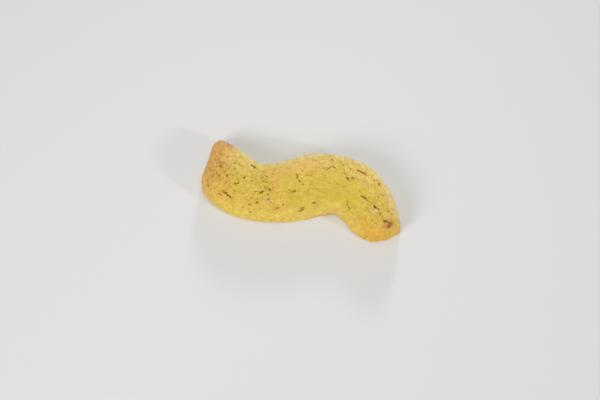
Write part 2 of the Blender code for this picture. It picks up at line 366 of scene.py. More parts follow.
# How strongly each tint, painted shade and painted light shows at most.
GREENER_PATCHES = 0.5
NEAR_SIDE_LIGHT_SHOWS = 0.75
FAR_SIDE_LIGHT_SHOWS = 0.9
WARMTH = 0.48
PALE_CRUMB = 0.12
PALE_GRAINS = 0.35
PALE_PATCHES = 0.5
PALE_AND_LIT_FOOT = 0.40
CALM_DOUGH = 0.3
GREEN_GRAINS = 0.22
DARK_GRAINS = 0.24
BROWN_SPECKS_SHOW = 0.5
GREEN_SPECKS_SHOW = 0.3
# Painted shade: how dark the seams between grains, the creases and the hollows get
FINE_SEAM_SHADE = 0.26
FINEST_SEAM_SHADE = 0.20
CREASE_SHADE = 0.30
HOLLOW_SHADE_AND_SCORCH = 0.82
NUT_SEAM_SHADE = 0.25
NUT_DUST = 0.5
NUT_RAGGED = (-0.2, 0.2)        # how far the edge of a nut's skin strays
NUT_EDGE = (0.3, 0.7)           # how much skin there is where flesh ends and where skin begins

DOUGH_ROUGHNESS = 0.88
NUT_ROUGHNESS = 0.7
PAPER_ROUGHNESS = 0.9
SPECULAR = 0.3          # low, because nothing here is glossy

# ---------------------------------------- view, floor and light

VIEW_HEIGHT = 70.0      # degrees above the floor
VIEW_TURN = 10.2        # degrees to the right of the cookie's front
VIEW_DISTANCE = 320.0
VIEW_SHIFT = (-0.28, -5.05, -3.15)     # the point looked at, from the middle of the cookie's box
LENS = 50.0
SENSOR = 36.0
NEAREST_SEEN = 10.0     # nearer than this to the camera, nothing shows
FLOOR_SIZE = 3600.0
FLOOR_TONE = (213, 212, 212)
SKY_TONE = (255, 249, 242)
SKY_STRENGTH = 0.388

# Each lamp: direction in degrees round from +X, height in degrees, distance, size, power and tint.
LAMPS = {
    "rear_lamp": (91.8, 19.5, 800.0, 130.0, 2.40, (0.84, 0.94, 1.0)),
    "right_lamp": (-18.0, 22.0, 800.0, 90.0, 1.75, (0.90, 0.96, 1.0)),
    "front_lamp": (-130.0, 32.0, 800.0, 380.0, 3.10, (0.98, 0.985, 1.0)),
    "top_lamp": (90.0, 88.0, 360.0, 240.0, 0.43, (0.97, 0.99, 1.0)),
}


# ======================================== small helpers

def tone(colour):
    """A display colour out of 255 as the linear colour that a shader takes."""
    return tuple(
        (value / 255 / 12.92) if value <= 10 else ((value / 255 + 0.055) / 1.055) ** 2.4 for value in colour
    ) + (1.0,)


def smooth_step(low, high, values):
    """0 below low, 1 above high, and smooth in between, or the other way round if low is the higher."""
    share = np.clip((values - low) / (high - low), 0.0, 1.0)
    return share * share * (3.0 - 2.0 * share)


def wave(point, size, shift=0.0):
    """Soft noise between about -1 and 1 at one point, a swell being about size across.

    Each shift gives another pattern.
    """
    return NOISE_GAIN * noise.noise(Vector(point) / size + Vector((shift, shift * 0.7, -shift)))


def noise_field(points, size, shift=0.0):
    """The same soft noise at many points."""
    return np.array([wave(point, size, shift) for point in points])


def link(name, content):
    """A new object in the scene, with this mesh, camera or lamp."""
    made = bpy.data.objects.new(name, content)
    bpy.context.scene.collection.objects.link(made)
    return made


# ======================================== the dough

class Skin:
    """The dough's fine surface: where its points are, how far each is raised, how it is tinted and where
    shade is painted.
    """

    def __init__(self, mesh):
        count = len(mesh.vertices)
        places = np.empty(count * 3)
        mesh.vertices.foreach_get("co", places)
        self.mesh = mesh
        self.places = places.reshape(-1, 3) / MM
        normals = np.empty(count * 3)
        mesh.vertex_normals.foreach_get("vector", normals)
        self.normals = normals.reshape(-1, 3)
        self.lift = np.zeros(count)
        self.hollow_shade_and_scorch = np.zeros(count)
        self.crease_shade = np.zeros(count)
        self.pale = np.zeros(count)
        self.warp = [noise_field(self.places, PATCH_WARP, shift) for shift in (40.0, 50.0)]
        self.lively = np.clip(1.0 + self.patches(LIVELY, LIVELY_STRAY), 0.0, LIVELIEST)
        self.tree = KDTree(count)
        for index, place in enumerate(self.places):
            self.tree.insert(place, index)
        self.tree.balance()
        self.topness = smooth_step(*TOP_SLOPES, self.normals[:, 2])

    def patches(self, spots, stray):
        """Soft round patches in plan, summed, with edges that stray this far."""
        x = self.places[:, 0] + stray * self.warp[0]
        y = self.places[:, 1] + stray * self.warp[1]
        total = np.zeros(len(x))
        for px, py, radius, strength in spots:
            total += strength * np.exp(-((x - px) ** 2 + (y - py) ** 2) / radius ** 2)
        return total

    def lively_at(self, place):
        """How rough the surface is near this place."""
        return self.lively[self.tree.find(place)[1]]

    def sink(self, index, depth):
        """Lowers one point into a crack or pit, and paints shade there, darker the deeper it is."""
        self.lift[index] -= depth
        self.hollow_shade_and_scorch[index] = max(self.hollow_shade_and_scorch[index], min(1.0, depth / DARKEST_SHADE_DEPTH))

    def write(self):
        """Moves the points along their normals, settles the foot and keeps the underside flat on the tray."""
        moved = self.places + self.normals * self.lift[:, None]
        sagged = SEAT * np.clip(1.0 - moved[:, 2] / SEAT_REACH, 0.0, 1.0)
        spread = FOOT_SPREAD * np.clip(1.0 - moved[:, 2] / FOOT_REACH, 0.0, 1.0) ** 2
        moved[:, :2] += self.normals[:, :2] * spread[:, None]
        moved[:, 2] = np.maximum(moved[:, 2] - sagged, 0.0)
        self.mesh.vertices.foreach_set("co", (moved * MM).ravel())
        self.mesh.update()

    def paint(self, name, values):
        """Stores a value for each point, for the material to read."""
        layer = self.mesh.attributes.new(name, "FLOAT", "POINT")
        layer.data.foreach_set("value", np.clip(values, 0.0, 1.0).astype(np.float32))


def welded_copy(node):
    """The CAD cookie's mesh with its split corners joined again."""
    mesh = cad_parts[node].data.copy()
    mesh.materials.clear()
    cage = bmesh.new()
    cage.from_mesh(mesh)
    bmesh.ops.remove_doubles(cage, verts=cage.verts, dist=WELD * MM)
    cage.to_mesh(mesh)
    cage.free()
    return mesh


def even_mesh(node):
    """The CAD cookie as an even, rounded mesh of small squares."""
    draft = link("dough_draft", welded_copy(node))
    rounder = draft.modifiers.new("rounder", "SUBSURF")
    rounder.levels = 1
    rounder.render_levels = 1
    squares = draft.modifiers.new("squares", "REMESH")
    squares.mode = "VOXEL"
    squares.voxel_size = VOXEL * MM
    evaluated = draft.evaluated_get(bpy.context.evaluated_depsgraph_get())
    mesh = bpy.data.meshes.new_from_object(evaluated)
    bpy.data.objects.remove(draft)
    return mesh


def split_faces(cage, faces):
    """Cuts each of these faces in four."""
    edges = {edge for face in faces for edge in face.edges}
    bmesh.ops.subdivide_edges(cage, edges=list(edges), cuts=1, use_grid_fill=True)


def refined(mesh, marks):
    """The mesh made finer on the top and sides, and finest round the marks."""
    near = KDTree(len(marks))
    for index, mark in enumerate(marks):
        near.insert(mark, index)
    near.balance()
    cage = bmesh.new()
    cage.from_mesh(mesh)
    cage.normal_update()
    split_faces(cage, [face for face in cage.faces if face.normal.z > UNDERSIDE_TILT])
    cage.normal_update()
    split_faces(cage, [
        face for face in cage.faces
        if near.find(face.calc_center_median() / MM)[2] < FINE_REACH
    ])
    for _ in range(SETTLE_PASSES):
        bmesh.ops.smooth_vert(
            cage, verts=cage.verts, factor=0.5, use_axis_x=True, use_axis_y=True, use_axis_z=True)
    cage.to_mesh(mesh)
    cage.free()
    return mesh


def surface_finder(mesh):
    """A function that gives the place and the normal of the top surface over a place in plan."""
    tree = BVHTree.FromPolygons(
        [vert.co / MM for vert in mesh.vertices], [list(face.vertices) for face in mesh.polygons])

    def find(x, y):
        place, normal, _, _ = tree.ray_cast(Vector((x, y, ABOVE)), Vector((0, 0, -1)))
        return place, normal

    return find


def wavering(points, shift):
    """A crack's line through these plan points, cut in short steps that waver to either side."""
    line = []
    for (ax, ay), (bx, by) in zip(points, points[1:]):
        length = math.hypot(bx - ax, by - ay)
        count = max(2, round(length / CRACK_STEP))
        across = ((ay - by) / length, (bx - ax) / length)
        for i in range(count):
            share = i / count
            x = ax + (bx - ax) * share
            y = ay + (by - ay) * share
            drift = CRACK_SWAY * wave((x, y, 0), SWAY_SIZE, shift)
            line.append((x + across[0] * drift, y + across[1] * drift))
    line.append(points[-1])
    return line


def crack_line(find, points, shift):
    """A crack's places on the surface, each with how open the crack is there, from about 0 to 1.

    It narrows towards both ends, and a little unevenly on the way.
    """
    plan = wavering(points, shift)
    quickness, least = CRACK_TAPER
    level, change = CRACK_OPENNESS
    line = []
    for i, (x, y) in enumerate(plan):
        place, _ = find(x, y)
        if place is not None:
            share = i / (len(plan) - 1)
            ragged = level + change * wave((x, y, 5), OPENNESS_SIZE, shift)
            line.append((place, min(1.0, quickness * share * (1 - share) + least) * ragged))
    return line


def open_crack(skin, line, width, depth):
    """Opens a crack along the line: a ragged groove with slightly lifted lips."""
    nearest = {}
    for place, opened in line:
        half = width / 2 * (CRACK_ENDS + (1.0 - CRACK_ENDS) * opened)
        for spot, index, away in skin.tree.find_range(place, half * LIP_REACH):
            relative = (away + CRACK_NOTCH * wave(spot, RAGGED_SIZE)) / half
            if index not in nearest or relative < nearest[index][0]:
                nearest[index] = (relative, opened)
    for index, (relative, opened) in nearest.items():
        if relative < 1.0:
            sunk = (1.0 - max(relative, 0.0) ** CRACK_SQUARENESS) * opened
            skin.sink(index, depth * sunk)
        else:
            skin.lift[index] += LIP * depth * max(0.0, LIP_REACH - relative) / (LIP_REACH - 1.0)


def press_pit(skin, place, radius, depth, heading, longer):
    """A burst bubble or a lost crumb: a small ragged pit, longer one way than the other."""
    along = Vector((math.cos(heading), math.sin(heading), 0))
    for spot, index, _ in skin.tree.find_range(place, radius * longer * PIT_ROOM):
        offset = spot - place
        run = offset.dot(along)
        stretched = (offset - along * run * (1.0 - 1.0 / longer)).length
        relative = (stretched + PIT_NOTCH * wave(spot, RAGGED_SIZE)) / radius
        if relative < 1.0:
            skin.sink(index, depth * (1.0 - max(relative, 0.0) ** 2))


def raise_knob(skin, x, y, radius, height):
    """A soft knob or dent in plan, without an edge, as high on the flank as on the top."""
    away = np.hypot(skin.places[:, 0] - x, skin.places[:, 1] - y) / radius
    skin.lift += height * np.clip(1.0 - away ** 2, 0.0, 1.0) ** 2


def raise_crumb(skin, place, radius, height):
    """A crumb of dough stuck to the surface, paler than the dough round it."""
    for spot, index, away in skin.tree.find_range(place, radius * CRUMB_ROOM):
        relative = (away + PIT_NOTCH * wave(spot, RAGGED_SIZE)) / radius
        if relative < 1.0:
            domed = 1.0 - max(relative, 0.0) ** 2
            skin.lift[index] += height * domed
            skin.pale[index] = max(skin.pale[index], domed)


def make_socket(skin, place, normal, turn, length, width, shade):
    """The dough drawn back here and there round a nut bit, with painted shade in the groove as dark as shade
    says.
    """
    along, across = bit_axes(normal, turn)
    level, change = SOCKET_DRAWN
    for spot, index, _ in skin.tree.find_range(place, length + SOCKET_WIDTH * 2):
        offset = spot - place
        u = offset.dot(along)
        v = offset.dot(across)
        rim = math.hypot(u / length, v / width)
        gap = abs(rim - 1.0) * (length + width) / 2
        drawn = min(1.0, max(0.0, level + change * wave(spot, SOCKET_GAPS)))
        if gap < SOCKET_WIDTH:
            sunk = drawn * (1.0 - (gap / SOCKET_WIDTH) ** 2)
            skin.lift[index] -= SOCKET_DEPTH * sunk
            skin.hollow_shade_and_scorch[index] = max(skin.hollow_shade_and_scorch[index], shade * sunk)
        elif rim < 1.0:
            skin.lift[index] -= SOCKET_DEPTH


def bit_axes(normal, turn):
    """The two directions along the surface that a bit's length and width take."""
    east = Vector((1, 0, 0))
    along = (east - normal * east.dot(normal)).normalized()
    along.rotate(Matrix.Rotation(math.radians(turn), 3, normal))
    return along, normal.cross(along)


def grain_field(points, size):
    """Rounded grains of uneven height: highest in a grain's middle and 0 in the seams between grains."""
    heights = []
    for point in points:
        distances, middles = noise.voronoi(Vector(point) / size, distance_metric="DISTANCE")
        domed = min(1.0, (distances[1] - distances[0]) * GRAIN_DOME)
        standing = 1.0 - GRAIN_UNEVENNESS * noise.cell(middles[0] * GRAIN_DRAW)
        heights.append(domed * standing)
    return np.array(heights)


def raise_surface(skin):
    """The dough's own unevenness: broad swells and crumb, rougher in patches and less on the sides."""
    for number, (size, height) in enumerate(SWELLS):
        skin.lift += height * noise_field(skin.places, size, shift=3.1 * number)
    lumps = np.zeros(len(skin.lift))
    for number, (size, height) in enumerate(CRUMB_LUMPS):
        lumps += height * noise_field(skin.places, size, shift=10.0 + 3.1 * number)
    grains = np.zeros(len(skin.lift))
    for size, height in GRAINS:
        grains += height * grain_field(skin.places, size)
    level, change = ROUGHNESS
    patchy = level + change * noise_field(skin.places, ROUGH_PATCH, shift=20.0)
    kept = skin.lively * patchy * (CRUMB_ON_SIDES + (1.0 - CRUMB_ON_SIDES) * skin.topness)
    middle = np.median(grains)
    skin.lift += (lumps + grains - middle) * kept
    # painted shade: where the crumb is low, the material darkens it
    skin.crease_shade = 1.0 - smooth_step(0.0, CREASE_SHADE_REACH * middle, grains + lumps)


def rope_heading(x, y):
    """The rope's direction in plan, from tip to end, near this place."""
    (ax, ay), (bx, by) = min(
        zip(ROPE_LINE, ROPE_LINE[1:]),
        key=lambda pair: math.hypot((pair[0][0] + pair[1][0]) / 2 - x, (pair[0][1] + pair[1][1]) / 2 - y))
    return math.atan2(by - ay, bx - ax)


def strewn(find, chance, count, least_tilt=TOP_TILT):
    """Random places over the cookie's top, as plan x, y with the place and the normal there."""
    low, high = (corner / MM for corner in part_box("cookie"))
    found = []
    while len(found) < count:
        x = chance.uniform(low.x, high.x)
        y = chance.uniform(low.y, high.y)
        place, normal = find(x, y)
        if place is not None and normal.z > least_tilt:
            found.append((x, y, place, normal))
    return found


def strew_pits(skin, find, chance):
    """Small pits all over the top and, fewer, over the sides, most of them drawn out along the rope."""
    spots = strewn(find, chance, SMALL_PITS) + strewn(find, chance, SIDE_PITS, SIDE_TILT)
    for x, y, place, _ in spots:
        heading = rope_heading(x, y) + chance.uniform(-SPREAD, SPREAD)
        radius = chance.uniform(*SMALL_PIT_RADIUS)
        depth = chance.uniform(*SMALL_PIT_DEPTH) * skin.lively_at(place)
        press_pit(skin, place, radius, depth, heading, chance.uniform(*SMALL_PIT_STRETCH))


def strew_hairlines(skin, find, chance):
    """Hairline cracks over the top, closer together in the nests, most of them along the rope."""
    spots = [(x, y) for x, y, _, _ in strewn(find, chance, HAIRLINES)]
    for x, y, reach, count in NESTS:
        spots += [(chance.gauss(x, reach), chance.gauss(y, reach)) for _ in range(count)]
    for number, (x, y) in enumerate(spots):
        heading = rope_heading(x, y) + chance.uniform(-SPREAD, SPREAD)
        half = chance.uniform(*HAIRLINE_LENGTH) / 2
        run = half * math.cos(heading)
        rise = half * math.sin(heading)
        line = crack_line(find, [(x - run, y - rise), (x + run, y + rise)], number)
        depth = chance.uniform(*HAIRLINE_DEPTH) * skin.lively_at((x, y, HAIRLINE_LEVEL))
        open_crack(skin, line, chance.uniform(*HAIRLINE_WIDTH), depth)


def strew_crumbs(skin, find, chance):
    """Crumbs of dough stuck all over the top."""
    for _, _, place, _ in strewn(find, chance, STUCK_CRUMBS):
        radius = chance.uniform(*STUCK_CRUMB_RADIUS)
        raise_crumb(skin, place, radius, chance.uniform(*STUCK_CRUMB_HEIGHT))


def flatten_underside(skin):
    """Takes the relief away underneath, where only a faint ripple is left."""
    relief = smooth_step(*FLAT_SLOPES, skin.normals[:, 2])
    size, height = UNDERSIDE_RIPPLE
    ripple = height * np.abs(noise_field(skin.places, size, shift=70.0))
    skin.lift = skin.lift * relief - (1.0 - relief) * ripple


def paint_dough(skin):
    """Stores all the dough's material reads: painted shade in hollows and creases, bake, tint, and painted
    light on its sides.
    """
    skin.paint("hollow_shade_and_scorch", skin.hollow_shade_and_scorch + skin.patches(SCORCHED, SCORCHED_STRAY))
    skin.paint("crease_shade", skin.crease_shade)
    skin.paint("pale", CRUMB_PALENESS * skin.pale + skin.patches(PALER, PALER_STRAY))
    skin.paint("lively", skin.lively / LIVELIEST)
    for name, spots, stray in LAYERS:
        skin.paint(name, skin.patches(spots, stray))
    slope = skin.normals[:, 2]
    # painted light: tints that stand in for how light falls on the near and the far sides
    far_light = smooth_step(*FAR_FACING, skin.normals @ np.array(FAR_SIDE)) * smooth_step(*FAR_FOOT, slope)
    for name, share, slopes in (("near_side_light", 1.0 - far_light, NEAR_SLOPES), ("far_side_light", far_light, FAR_SLOPES)):
        skin.paint(name, share * (1.0 - smooth_step(*slopes, slope)))
    skin.paint("underside", 1.0 - smooth_step(*UNDERSIDE_SLOPES, slope))
    skin.paint("foot", 1.0 - smooth_step(*FOOT_PALENESS_AND_LIGHT, skin.places[:, 2]))


def fine_marks(cracks, pits, bits):
    """The places that need the finest mesh: along the cracks, in the large pits and round the nut bits."""
    marks = [place for line, _, _ in cracks for place, _ in line]
    marks += [place for place, _, _ in pits]
    for place, normal, turn, length, width, _ in bits:
        along, across = bit_axes(normal, turn)
        for step in range(RIM_MARKS):
            angle = math.tau * step / RIM_MARKS
            marks.append(place + along * length * math.cos(angle) + across * width * math.sin(angle))
    return marks


def make_dough():
    """The baked dough, in one piece, and a finder for its smooth surface."""
    mesh = even_mesh("cookie")
    find = surface_finder(mesh)
    cracks = [
        (crack_line(find, points, number), width, depth)
        for number, (points, width, depth) in enumerate(CRACKS)
    ]
    pits = [(find(x, y)[0], radius, depth) for x, y, radius, depth in PITS]
    bits = [
        (*find(x, y), turn, length, width, shade)
        for _, large, _, shade, _, _ in NUT_KINDS
        for x, y, turn, length, width, _, _, _ in large
    ]
    skin = Skin(refined(mesh, fine_marks(cracks, pits, bits)))

    raise_surface(skin)
    for x, y, radius, height in KNOBS:
        raise_knob(skin, x, y, radius, height)
    for line, width, depth in cracks:
        open_crack(skin, line, width, depth)
    for place, radius, depth in pits:
        press_pit(skin, place, radius, depth, rope_heading(place.x, place.y), PIT_STRETCH)
    for place, normal, turn, length, width, shade in bits:
        make_socket(skin, place, normal, turn, length, width, shade)

    chance = random.Random(SEED)
    strew_pits(skin, find, chance)
    strew_hairlines(skin, find, chance)
    strew_crumbs(skin, find, chance)
    flatten_underside(skin)
    skin.write()
    paint_dough(skin)
    skin.mesh.shade_smooth()
    return link("dough", skin.mesh), find


# ======================================== chopped nuts

def chopped_bit(chance, detail):
    """One chopped bit about 1 in radius: a chunk cut by a few flat faces."""
    cage = bmesh.new()
    bmesh.ops.create_icosphere(cage, subdivisions=detail, radius=1.0)
    cuts = []
    for _ in range(CUTS):
        way = Vector((chance.gauss(0, 1), chance.gauss(0, 1), chance.gauss(0, 1))).normalized()
        cuts.append((way, chance.uniform(*CUT_DEPTH)))
    shift = Vector((chance.uniform(0, 50), 0, 0))
    ripples, ripple_height = BIT_RIPPLES
    for vert in cage.verts:
        reach = 1.0
        for way, depth in cuts:
            facing = vert.co.dot(way)
            if facing > CUT_FACING:
                reach = min(reach, depth / facing)
        vert.co *= reach * (1.0 + ripple_height * noise.noise(vert.co * ripples + shift))
    return cage


def place_bit(heap, chance, place, normal, turn, size, proud, skin_side, detail):
    """Adds one chopped bit to the heap, sunk in the dough so that its top stands proud of the surface."""
    along, across = bit_axes(normal, turn)
    bit = chopped_bit(chance, detail)
    turned = Matrix((along * size[0], across * size[1], normal * size[2])).transposed().to_4x4()
    turned.translation = place + normal * (proud - size[2] * BIT_TOP)
    bit.transform(turned)
    heading = Vector((math.cos(math.radians(skin_side)), math.sin(math.radians(skin_side)), 0))
    layer = bit.verts.layers.float.new("nut_skin")
    for vert in bit.verts:
        facing = (vert.co - turned.translation).dot(heading) / max(size)
        vert[layer] = min(1.0, max(0.0, SKIN_MIDDLE + SKIN_EDGE * facing))
    bit.transform(Matrix.Scale(MM, 4))
    scrap = bpy.data.meshes.new("bit")
    bit.to_mesh(scrap)
    bit.free()
    heap.from_mesh(scrap)
    bpy.data.meshes.remove(scrap)


def make_bits(name, find, chance, large, fine):
    """All bits of one kind as one piece: the large ones as listed and the fine ones strewn."""
    heap = bmesh.new()
    heap.verts.layers.float.new("nut_skin")
    for x, y, turn, length, width, thickness, proud, skin_side in large:
        place, normal = find(x, y)
        size = (length, width, thickness)
        place_bit(heap, chance, place, normal, turn, size, proud, skin_side, LARGE_DETAIL)
    count, least, most = fine
    for _, _, place, normal in strewn(find, chance, count):
        length = chance.uniform(least, most)
        size = (length, length * chance.uniform(*FINE_WIDTH), length * FINE_THICKNESS)
        turn = chance.uniform(0, 360)
        proud = chance.uniform(*FINE_PROUD)
        place_bit(heap, chance, place, normal, turn, size, proud, turn, FINE_DETAIL)
    mesh = bpy.data.meshes.new(name)
    heap.to_mesh(mesh)
    heap.free()
    mesh.shade_smooth()
    return link(name, mesh)


# ======================================== materials

class Nodes:
    """Adds nodes to a tree and joins them up."""

    def __init__(self, tree):
        self.tree = tree

    def add(self, kind, values=None, **settings):
        """A new node with these settings, its sockets given values or joined to other sockets."""
        node = self.tree.nodes.new(kind)
        for name, value in settings.items():
            setattr(node, name, value)
        for name, value in (values or {}).items():
            socket = node.inputs[name]
            if isinstance(value, bpy.types.NodeSocket):
                self.tree.links.new(value, socket)
            else:
                socket.default_value = value
        return node

    def mix(self, factor, first, second):
        """A colour between first and second."""
        return self.add("ShaderNodeMix", {0: factor, 6: first, 7: second}, data_type="RGBA").outputs[2]

    def ramp(self, value, low, high, least=0.0, most=1.0):
        """The value's range from low to high, stretched to least and most."""
        return self.add(
            "ShaderNodeMapRange", {0: value, 1: low, 2: high, 3: least, 4: most},
            interpolation_type="SMOOTHSTEP").outputs[0]

    def math(self, operation, first, second):
        """Two values put together by a sum of this kind."""
        return self.add("ShaderNodeMath", {0: first, 1: second}, operation=operation).outputs[0]

    def times(self, first, second):
        """Two values multiplied."""
        return self.math("MULTIPLY", first, second)

    def plus(self, first, second):
        """Two values added."""
        return self.math("ADD", first, second)

    def attribute(self, name):
        """The value that was stored for each point of the mesh under this name."""
        return self.add("ShaderNodeAttribute", attribute_name=name).outputs["Fac"]


def new_group(name, inputs, outputs):
    """An empty node group that takes these numbers, as (group, nodes, input node, output node)."""
    group = bpy.data.node_groups.new(name, "ShaderNodeTree")
    for socket, value in inputs.items():
        made = group.interface.new_socket(socket, in_out="INPUT", socket_type="NodeSocketFloat")
        made.default_value = value
    for socket in outputs:
        kind = "NodeSocketVector" if socket == "Normal" else "NodeSocketFloat"
        group.interface.new_socket(socket, in_out="OUTPUT", socket_type=kind)
    nodes = Nodes(group)
    return group, nodes, nodes.add("NodeGroupInput"), nodes.add("NodeGroupOutput")


def position_in(nodes, size):
    """The place on the object, counted in units of size millimetres."""
    place = nodes.add("ShaderNodeTexCoord").outputs["Object"]
    per_size = nodes.math("DIVIDE", 1.0 / MM, size)
    return nodes.add("ShaderNodeVectorMath", {0: place, "Scale": per_size}, operation="SCALE").outputs[0]


def mottle_group():
    """Soft uneven patches of a given size, as a mask from 0 to 1."""
    group, nodes, given, made = new_group(
        "mottle", {"Size": 2.0, "Detail": 3.0, "Low": 0.4, "High": 0.6}, ["Mask"])
    place = position_in(nodes, given.outputs["Size"])
    field = nodes.add(
        "ShaderNodeTexNoise",
        {"Vector": place, "Scale": 1.0, "Detail": given.outputs["Detail"], "Roughness": 0.6})
    mask = nodes.ramp(field.outputs["Fac"], given.outputs["Low"], given.outputs["High"])
    group.links.new(mask, made.inputs["Mask"])
    return group


def speck_group():
    """Small scattered dots, as a mask: one in each cell of a given size, some left out."""
    group, nodes, given, made = new_group(
        "specks", {"Spacing": 1.0, "Radius": 0.2, "Kept": 0.5}, ["Mask"])
    cells = nodes.add(
        "ShaderNodeTexVoronoi", {"Vector": position_in(nodes, given.outputs["Spacing"]), "Scale": 1.0})
    dot = nodes.ramp(cells.outputs["Distance"], given.outputs["Radius"], 0.0)
    pick = nodes.add("ShaderNodeSeparateColor", {0: cells.outputs["Color"]}).outputs[0]
    kept = nodes.math("LESS_THAN", pick, given.outputs["Kept"])
    group.links.new(nodes.times(dot, kept), made.inputs["Mask"])
    return group


def grain_group():
    """Fine dry grains: a mask from 0 in their seams to 1 on their tops, a tint for each, and their normal."""
    group, nodes, given, made = new_group(
        "dry_grain", {"Size": 0.3, "Depth": 0.04}, ["Mask", "Tint", "Normal"])
    place = position_in(nodes, given.outputs["Size"])
    sand = nodes.add("ShaderNodeTexNoise", {"Vector": place, **SAND})
    drift = nodes.add(
        "ShaderNodeVectorMath", {0: sand.outputs["Color"], 1: place, "Scale": GRAIN_WARP}, operation="SCALE")
    warped = nodes.add("ShaderNodeVectorMath", {0: drift.outputs[0], 1: place}, operation="ADD")
    cells = nodes.add("ShaderNodeTexVoronoi", {"Vector": warped.outputs[0], "Scale": 1.0})
    mask = nodes.ramp(cells.outputs["Distance"], *GRAIN_EDGES)
    tint = nodes.add("ShaderNodeSeparateColor", {0: cells.outputs["Color"]}).outputs[0]
    uneven = nodes.times(mask, nodes.ramp(tint, 0.0, 1.0, *GRAIN_HEIGHTS))
    height = nodes.plus(uneven, nodes.times(sand.outputs["Fac"], SAND_ON_GRAINS))
    depth = nodes.times(given.outputs["Depth"], MM)
    bump = nodes.add("ShaderNodeBump", {"Strength": 1.0, "Distance": depth, "Height": height})
    group.links.new(mask, made.inputs["Mask"])
    group.links.new(tint, made.inputs["Tint"])
    group.links.new(bump.outputs["Normal"], made.inputs["Normal"])
    return group


def use(nodes, group, **values):
    """Places a node group in a material with its own values, and gives its outputs."""
    return nodes.add("ShaderNodeGroup", values, node_tree=group).outputs


def new_material(name, roughness):
    """A dry material with a Principled BSDF, as (material, nodes, shader)."""
    material = bpy.data.materials.new(name)
    material.use_nodes = True
    shader = material.node_tree.nodes["Principled BSDF"]
    shader.inputs["Roughness"].default_value = roughness
    shader.inputs["Specular IOR Level"].default_value = SPECULAR
    return material, Nodes(material.node_tree), shader


def baked_colour(nodes, mottle, lively, tint):
    """The bake: golden and greener dough, peach, paler down the sides and at the foot (partly painted light),
    warm, toasted, dry and amber.
    """
    patchy, crumbly, warmer = (use(nodes, mottle, **look)["Mask"] for look in (PATCHY, CRUMBLY, WARMER))

    def in_crumb(name, shows):
        """A stored layer, as strong in the crumb's seams and on top of it as shows says."""
        return nodes.times(nodes.attribute(name), nodes.ramp(crumbly, 0.0, 1.0, *shows))

    fresh = nodes.plus(nodes.attribute("fresh"), nodes.times(patchy, GREENER_PATCHES))
    colour = nodes.mix(nodes.math("MINIMUM", fresh, 1.0), tone(GOLDEN), tone(GREENISH))
    colour = nodes.mix(in_crumb("peach", PEACH_SHOWS), colour, tone(PEACH_TONE))
    # painted light down the sides, partly the paler dough of sides that baked less
    near = nodes.times(nodes.attribute("near_side_light"), NEAR_SIDE_LIGHT_SHOWS)
    colour = nodes.mix(near, colour, tone(NEAR_SIDE_LIGHT_TONE))
    far_light = nodes.times(nodes.attribute("far_side_light"), FAR_SIDE_LIGHT_SHOWS)
    colour = nodes.mix(far_light, colour, tone(FAR_SIDE_LIGHT_TONE))
    colour = nodes.mix(nodes.times(warmer, WARMTH), colour, tone(WARM_TONE))
    colour = nodes.mix(in_crumb("toasted", TOAST_SHOWS), colour, tone(TOAST_TONE))
    pale = nodes.times(crumbly, PALE_CRUMB)
    pale = nodes.plus(pale, nodes.times(lively, nodes.ramp(tint, *PALE_PICK, 0.0, PALE_GRAINS)))
    pale = nodes.plus(pale, nodes.times(nodes.attribute("pale"), PALE_PATCHES))
    # the paler foot: partly its drier dough, partly painted light over the shade where it meets the tray
    pale = nodes.plus(pale, nodes.times(nodes.attribute("foot"), PALE_AND_LIT_FOOT))
    colour = nodes.mix(pale, colour, tone(PALE_CRUMB_TONE))
    return nodes.mix(in_crumb("amber", AMBER_SHOWS), colour, tone(AMBER_TONE))


def speckled(nodes, specks, colour, lively, fine, finest):
    """The colour a little darker where the dough is calm, with some grains tinted, and with specks."""
    colour = nodes.mix(nodes.ramp(lively, *CALM, 0.0, CALM_DOUGH), colour, tone(SHADE_AND_DARK_CRUMB_TONE))
    tinted = ((fine, GREEN_GRAINS, GREEN_SPECK_TONE), (finest, DARK_GRAINS, SHADE_AND_DARK_CRUMB_TONE))
    for grains, most, grain_tone in tinted:
        chosen = nodes.times(lively, nodes.ramp(grains["Tint"], *TINTED_PICK, 0.0, most))
        colour = nodes.mix(chosen, colour, tone(grain_tone))
    brown = (BROWN_SPECKS, BROWN_SPECKS_SHOW, BROWN_SPECK_TONE)
    green = (GREEN_SPECKS, GREEN_SPECKS_SHOW, GREEN_SPECK_TONE)
    for look, most, speck_tone in (brown, green):
        dots = use(nodes, specks, **look)["Mask"]
        colour = nodes.mix(nodes.times(dots, most), colour, tone(speck_tone))
    return colour


def browned_and_shaded(nodes, colour, lively, fine, finest):
    """The colour browner underneath, with painted shade in the seams between grains, in creases and in
    hollows.
    """
    colour = nodes.mix(nodes.attribute("underside"), colour, tone(UNDERSIDE_TONE))
    for grains, most in ((fine, FINE_SEAM_SHADE), (finest, FINEST_SEAM_SHADE)):
        seam_shade = nodes.times(nodes.math("SUBTRACT", 1.0, grains["Mask"]), nodes.times(lively, most))
        colour = nodes.mix(seam_shade, colour, tone(SHADE_AND_DARK_CRUMB_TONE))
    crease_shade = nodes.times(lively, nodes.times(nodes.attribute("crease_shade"), CREASE_SHADE))
    colour = nodes.mix(crease_shade, colour, tone(SHADE_AND_DARK_CRUMB_TONE))
    # painted shade in the cracks, pits and sockets, with the scorched tip stored in the same layer
    return nodes.mix(nodes.times(nodes.attribute("hollow_shade_and_scorch"), HOLLOW_SHADE_AND_SCORCH), colour, tone(HOLLOW_SHADE_AND_SCORCH_TONE))


